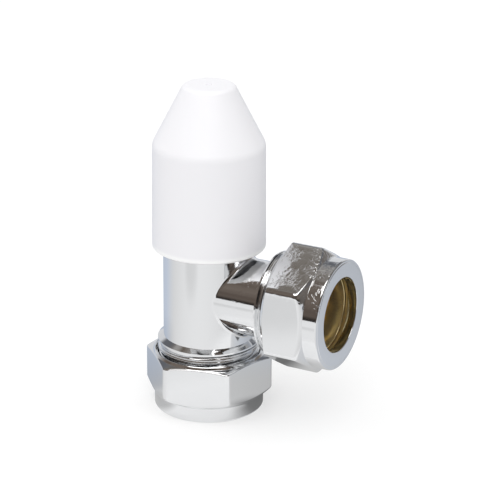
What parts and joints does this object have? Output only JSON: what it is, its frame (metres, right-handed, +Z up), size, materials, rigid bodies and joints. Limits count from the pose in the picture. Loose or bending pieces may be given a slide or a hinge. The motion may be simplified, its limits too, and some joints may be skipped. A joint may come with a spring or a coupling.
{
  "type": "angled lockshield radiator valve",
  "caption": "Angled lockshield radiator valve: chrome-plated brass body with compression ends at right angles, screw-down headwork and a white push-on cone-topped cap.",
  "frame": {"origin": "centre of the inlet nut's bore at the nut's end face", "axes": "+Z up the barrel from the inlet, +X along the outlet branch"},
  "size_m": [0.0425, 0.0256, 0.0684],
  "materials": {
    "chrome_plate": "bright plating on brass",
    "brass": "machined",
    "white_plastic": "satin moulded",
    "rubber": "matt",
    "packing": "waxy",
    "spring_steel": "bright"
  },
  "bodies": {
    "body": {"valve_body": "chrome_plate", "bonnet": "brass", "bonnet_seal": "rubber", "gland_packing": "packing", "gland_ring": "brass", "gland_nut": "brass"},
    "cap": {"lockshield_cap": "white_plastic"},
    "plug": {"jumper": "brass", "seat_washer": "rubber", "washer_nut": "brass"},
    "spindle": {"spindle": "brass", "jumper_clip": "spring_steel"},
    "inlet_ring": {"inlet_olive": "brass"},
    "inlet_nut": {"inlet_nut": "chrome_plate"},
    "outlet_ring": {"outlet_olive": "brass"},
    "outlet_nut": {"outlet_nut": "chrome_plate"}
  },
  "joints": [
    {"name": "cap_pull", "type": "slide", "parent": "body", "child": "cap", "axis": [0, 0, 1], "range_m": [0, 0.045]},
    {"name": "plug_lift", "type": "slide", "parent": "body", "child": "plug", "axis": [0, 0, 1], "range_m": [0, 0.0045]},
    {"name": "spindle_turn", "type": "hinge", "parent": "plug", "child": "spindle", "pos_m": [0, 0, 0.045], "axis": [0, 0, 1], "range_deg": [0, 1080]},
    {"name": "inlet_nut_travel", "type": "slide", "parent": "body", "child": "inlet_ring", "axis": [0, 0, -1], "range_m": [0, 0.00363]},
    {"name": "inlet_nut_turn", "type": "hinge", "parent": "inlet_ring", "child": "inlet_nut", "pos_m": [0, 0, 0.006], "axis": [0, 0, -1], "range_deg": [0, 720]},
    {"name": "outlet_nut_travel", "type": "slide", "parent": "body", "child": "outlet_ring", "axis": [1, 0, 0], "range_m": [0, 0.00363]},
    {"name": "outlet_nut_turn", "type": "hinge", "parent": "outlet_ring", "child": "outlet_nut", "pos_m": [0.0237, 0, 0.0251], "axis": [1, 0, 0], "range_deg": [0, 720]}
  ],
  "couplings": [
    {"joint": "spindle_turn", "follows": "plug_lift", "rad_per_m": 4188.8},
    {"joint": "inlet_nut_travel", "follows": "inlet_nut_turn", "m_per_rad": 0.00028871},
    {"joint": "outlet_nut_travel", "follows": "outlet_nut_turn", "m_per_rad": 0.00028871}
  ]
}
